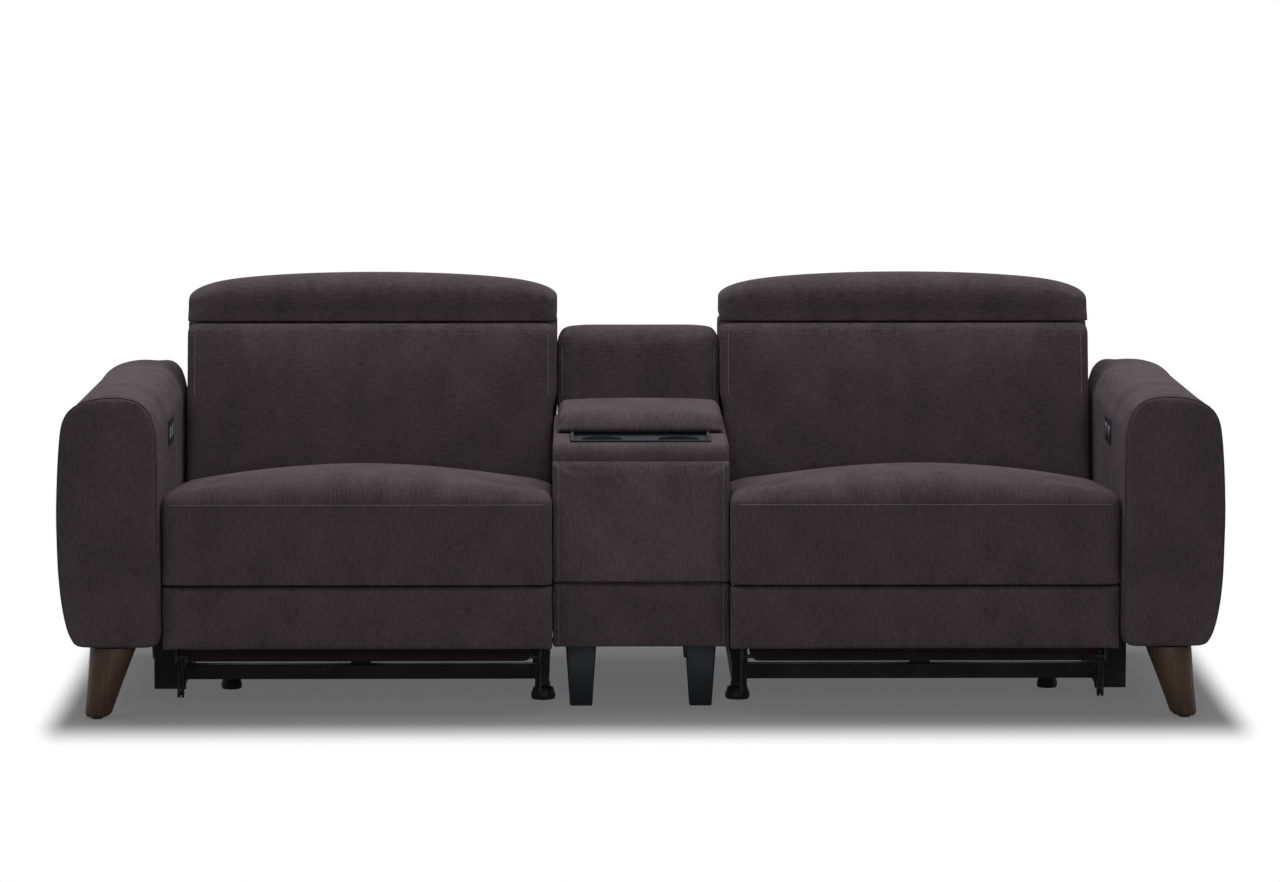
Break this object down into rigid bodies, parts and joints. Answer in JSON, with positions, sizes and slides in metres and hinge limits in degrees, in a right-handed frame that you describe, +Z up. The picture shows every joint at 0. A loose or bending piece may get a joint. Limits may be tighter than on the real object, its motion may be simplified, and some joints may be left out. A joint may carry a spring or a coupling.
{
  "type": "reclining loveseat with console",
  "caption": "Power reclining loveseat in charcoal fabric with arched arms, fold-out footrests, tilting headrests and a centre console with cup holders and lidded storage.",
  "frame": {"origin": "centre of the footprint, on the floor", "axes": "+X to the right seen from the front, -Y out of the front, +Z up"},
  "size_m": [2.3608, 0.9286, 0.8407],
  "materials": {
    "fabric": "soft chenille weave",
    "lining": "plain dust cloth",
    "walnut": "satin walnut stain",
    "dark_wood": "black stain",
    "black_steel": "semi-gloss black",
    "plastic": "fine texture",
    "silver": "satin",
    "rubber": "matt"
  },
  "bodies": {
    "frame": {"arm_left": "fabric", "front_leg_left": "walnut", "rear_leg_left": "dark_wood", "control_panel_left": "plastic", "base_frame_left": "black_steel", "inner_glide_left": "rubber", "outer_glide_left": "rubber", "actuator_left": "plastic", "arm_right": "fabric", "front_leg_right": "walnut", "rear_leg_right": "dark_wood", "control_panel_right": "plastic", "base_frame_right": "black_steel", "inner_glide_right": "rubber", "outer_glide_right": "rubber", "actuator_right": "plastic", "console_back": "fabric", "console_body": "fabric", "console_leg_front_left": "dark_wood", "console_leg_front_right": "dark_wood", "console_leg_rear_left": "dark_wood", "console_leg_rear_right": "dark_wood", "console_tray": "plastic"},
    "rear_swing_left": {"rear_swing_left": "black_steel"},
    "front_swing_left": {"front_swing_left": "black_steel"},
    "seat_left": {"seat_frame_left": "black_steel", "seat_cushion_left": "fabric"},
    "back_left": {"back_shell_left": "fabric", "back_cushion_left": "fabric"},
    "headrest_left": {"headrest_left": "fabric", "headrest_bracket_left": "black_steel"},
    "long_link_left": {"long_link_left": "black_steel"},
    "cross_link_left": {"cross_link_left": "black_steel"},
    "outer_tie_left": {"outer_tie_left": "black_steel"},
    "inner_tie_left": {"inner_tie_left": "black_steel"},
    "footrest_left": {"panel_frame_left": "black_steel", "footrest_panel_left": "fabric"},
    "flap_left": {"footrest_flap_left": "lining"},
    "carriage_left": {"carriage_left": "black_steel"},
    "recline_rocker_left": {"recline_rocker_left": "silver"},
    "headrest_rocker_left": {"headrest_rocker_left": "silver"},
    "rear_swing_right": {"rear_swing_right": "black_steel"},
    "front_swing_right": {"front_swing_right": "black_steel"},
    "seat_right": {"seat_frame_right": "black_steel", "seat_cushion_right": "fabric"},
    "back_right": {"back_shell_right": "fabric", "back_cushion_right": "fabric"},
    "headrest_right": {"headrest_right": "fabric", "headrest_bracket_right": "black_steel"},
    "long_link_right": {"long_link_right": "black_steel"},
    "cross_link_right": {"cross_link_right": "black_steel"},
    "outer_tie_right": {"outer_tie_right": "black_steel"},
    "inner_tie_right": {"inner_tie_right": "black_steel"},
    "footrest_right": {"panel_frame_right": "black_steel", "footrest_panel_right": "fabric"},
    "flap_right": {"footrest_flap_right": "lining"},
    "carriage_right": {"carriage_right": "black_steel"},
    "recline_rocker_right": {"recline_rocker_right": "silver"},
    "headrest_rocker_right": {"headrest_rocker_right": "silver"},
    "console_lid": {"console_lid": "fabric"}
  },
  "joints": [
    {"name": "recline_left", "type": "hinge", "parent": "frame", "child": "rear_swing_left", "pos_m": [-0.5755, -0.00074, 0.055], "axis": [1, 0, 0], "range_deg": [0, 36]},
    {"name": "seat_level_left", "type": "hinge", "parent": "rear_swing_left", "child": "seat_left", "pos_m": [-0.5755, 0.05775, 0.235], "axis": [1, 0, 0], "range_deg": [-36, 0]},
    {"name": "front_swing_left", "type": "hinge", "parent": "frame", "child": "front_swing_left", "pos_m": [-0.5755, -0.21074, 0.055], "axis": [1, 0, 0], "range_deg": [0, 36]},
    {"name": "back_recline_left", "type": "hinge", "parent": "seat_left", "child": "back_left", "pos_m": [-0.5755, 0.19526, 0.355], "axis": [-1, 0, 0], "range_deg": [0, 32]},
    {"name": "headrest_tilt_left", "type": "hinge", "parent": "back_left", "child": "headrest_left", "pos_m": [-0.5755, 0.23774, 0.73952], "axis": [1, 0, 0], "range_deg": [0, 60]},
    {"name": "long_link_swing_left", "type": "hinge", "parent": "seat_left", "child": "long_link_left", "pos_m": [-0.5755, -0.32074, 0.232], "axis": [-1, 0, 0], "range_deg": [0, 86]},
    {"name": "cross_link_swing_left", "type": "hinge", "parent": "long_link_left", "child": "cross_link_left", "pos_m": [-0.5755, -0.32771, 0.13224], "axis": [1, 0, 0], "range_deg": [0, 136]},
    {"name": "outer_tie_swing_left", "type": "hinge", "parent": "long_link_left", "child": "outer_tie_left", "pos_m": [-0.937, -0.33469, 0.03249], "axis": [1, 0, 0], "range_deg": [0, 136]},
    {"name": "inner_tie_swing_left", "type": "hinge", "parent": "long_link_left", "child": "inner_tie_left", "pos_m": [-0.214, -0.33469, 0.03249], "axis": [1, 0, 0], "range_deg": [0, 136]},
    {"name": "footrest_turn_left", "type": "hinge", "parent": "cross_link_left", "child": "footrest_left", "pos_m": [-0.5755, -0.36839, 0.2236], "axis": [-1, 0, 0], "range_deg": [0, 136]},
    {"name": "flap_turn_left", "type": "hinge", "parent": "footrest_left", "child": "flap_left", "pos_m": [-0.5755, -0.38874, 0.115], "axis": [-1, 0, 0], "range_deg": [0, 180]},
    {"name": "carriage_slide_left", "type": "slide", "parent": "frame", "child": "carriage_left", "axis": [0, -1, 0], "range_m": [0, 0.05849]},
    {"name": "recline_rocker_tip_left", "type": "hinge", "parent": "frame", "child": "recline_rocker_left", "pos_m": [-0.9745, -0.16824, 0.549], "axis": [0, 0, 1], "range_deg": [-6, 6], "stiffness_Nm_per_rad": 0.2},
    {"name": "headrest_rocker_tip_left", "type": "hinge", "parent": "frame", "child": "headrest_rocker_left", "pos_m": [-0.9745, -0.11324, 0.549], "axis": [0, 0, 1], "range_deg": [-6, 6], "stiffness_Nm_per_rad": 0.2},
    {"name": "recline_right", "type": "hinge", "parent": "frame", "child": "rear_swing_right", "pos_m": [0.5755, -0.00074, 0.055], "axis": [1, 0, 0], "range_deg": [0, 36]},
    {"name": "seat_level_right", "type": "hinge", "parent": "rear_swing_right", "child": "seat_right", "pos_m": [0.5755, 0.05775, 0.235], "axis": [1, 0, 0], "range_deg": [-36, 0]},
    {"name": "front_swing_right", "type": "hinge", "parent": "frame", "child": "front_swing_right", "pos_m": [0.5755, -0.21074, 0.055], "axis": [1, 0, 0], "range_deg": [0, 36]},
    {"name": "back_recline_right", "type": "hinge", "parent": "seat_right", "child": "back_right", "pos_m": [0.5755, 0.19526, 0.355], "axis": [-1, 0, 0], "range_deg": [0, 32]},
    {"name": "headrest_tilt_right", "type": "hinge", "parent": "back_right", "child": "headrest_right", "pos_m": [0.5755, 0.23774, 0.73952], "axis": [1, 0, 0], "range_deg": [0, 60]},
    {"name": "long_link_swing_right", "type": "hinge", "parent": "seat_right", "child": "long_link_right", "pos_m": [0.5755, -0.32074, 0.232], "axis": [-1, 0, 0], "range_deg": [0, 86]},
    {"name": "cross_link_swing_right", "type": "hinge", "parent": "long_link_right", "child": "cross_link_right", "pos_m": [0.5755, -0.32771, 0.13224], "axis": [1, 0, 0], "range_deg": [0, 136]},
    {"name": "outer_tie_swing_right", "type": "hinge", "parent": "long_link_right", "child": "outer_tie_right", "pos_m": [0.937, -0.33469, 0.03249], "axis": [1, 0, 0], "range_deg": [0, 136]},
    {"name": "inner_tie_swing_right", "type": "hinge", "parent": "long_link_right", "child": "inner_tie_right", "pos_m": [0.214, -0.33469, 0.03249], "axis": [1, 0, 0], "range_deg": [0, 136]},
    {"name": "footrest_turn_right", "type": "hinge", "parent": "cross_link_right", "child": "footrest_right", "pos_m": [0.5755, -0.36839, 0.2236], "axis": [-1, 0, 0], "range_deg": [0, 136]},
    {"name": "flap_turn_right", "type": "hinge", "parent": "footrest_right", "child": "flap_right", "pos_m": [0.5755, -0.38874, 0.115], "axis": [-1, 0, 0], "range_deg": [0, 180]},
    {"name": "carriage_slide_right", "type": "slide", "parent": "frame", "child": "carriage_right", "axis": [0, -1, 0], "range_m": [0, 0.05849]},
    {"name": "recline_rocker_tip_right", "type": "hinge", "parent": "frame", "child": "recline_rocker_right", "pos_m": [0.9745, -0.16824, 0.549], "axis": [0, 0, 1], "range_deg": [-6, 6], "stiffness_Nm_per_rad": 0.2},
    {"name": "headrest_rocker_tip_right", "type": "hinge", "parent": "frame", "child": "headrest_rocker_right", "pos_m": [0.9745, -0.11324, 0.549], "axis": [0, 0, 1], "range_deg": [-6, 6], "stiffness_Nm_per_rad": 0.2},
    {"name": "console_lid_hinge", "type": "hinge", "parent": "frame", "child": "console_lid", "pos_m": [0, 0.12576, 0.5515], "axis": [-1, 0, 0], "range_deg": [0, 80]}
  ],
  "couplings": [
    {"joint": "seat_level_left", "follows": "recline_left", "ratio": -1},
    {"joint": "front_swing_left", "follows": "recline_left", "ratio": 1},
    {"joint": "back_recline_left", "follows": "recline_left", "ratio": 0.88888},
    {"joint": "long_link_swing_left", "follows": "recline_left", "ratio": 2.3889},
    {"joint": "cross_link_swing_left", "follows": "recline_left", "ratio": 3.7778},
    {"joint": "outer_tie_swing_left", "follows": "recline_left", "ratio": 3.7778},
    {"joint": "inner_tie_swing_left", "follows": "recline_left", "ratio": 3.7778},
    {"joint": "footrest_turn_left", "follows": "recline_left", "ratio": 3.7778},
    {"joint": "flap_turn_left", "follows": "recline_left", "ratio": 5},
    {"joint": "carriage_slide_left", "follows": "recline_left", "m_per_rad": 0.09308},
    {"joint": "seat_level_right", "follows": "recline_right", "ratio": -1},
    {"joint": "front_swing_right", "follows": "recline_right", "ratio": 1},
    {"joint": "back_recline_right", "follows": "recline_right", "ratio": 0.88888},
    {"joint": "long_link_swing_right", "follows": "recline_right", "ratio": 2.3889},
    {"joint": "cross_link_swing_right", "follows": "recline_right", "ratio": 3.7778},
    {"joint": "outer_tie_swing_right", "follows": "recline_right", "ratio": 3.7778},
    {"joint": "inner_tie_swing_right", "follows": "recline_right", "ratio": 3.7778},
    {"joint": "footrest_turn_right", "follows": "recline_right", "ratio": 3.7778},
    {"joint": "flap_turn_right", "follows": "recline_right", "ratio": 5},
    {"joint": "carriage_slide_right", "follows": "recline_right", "m_per_rad": 0.09308}
  ]
}
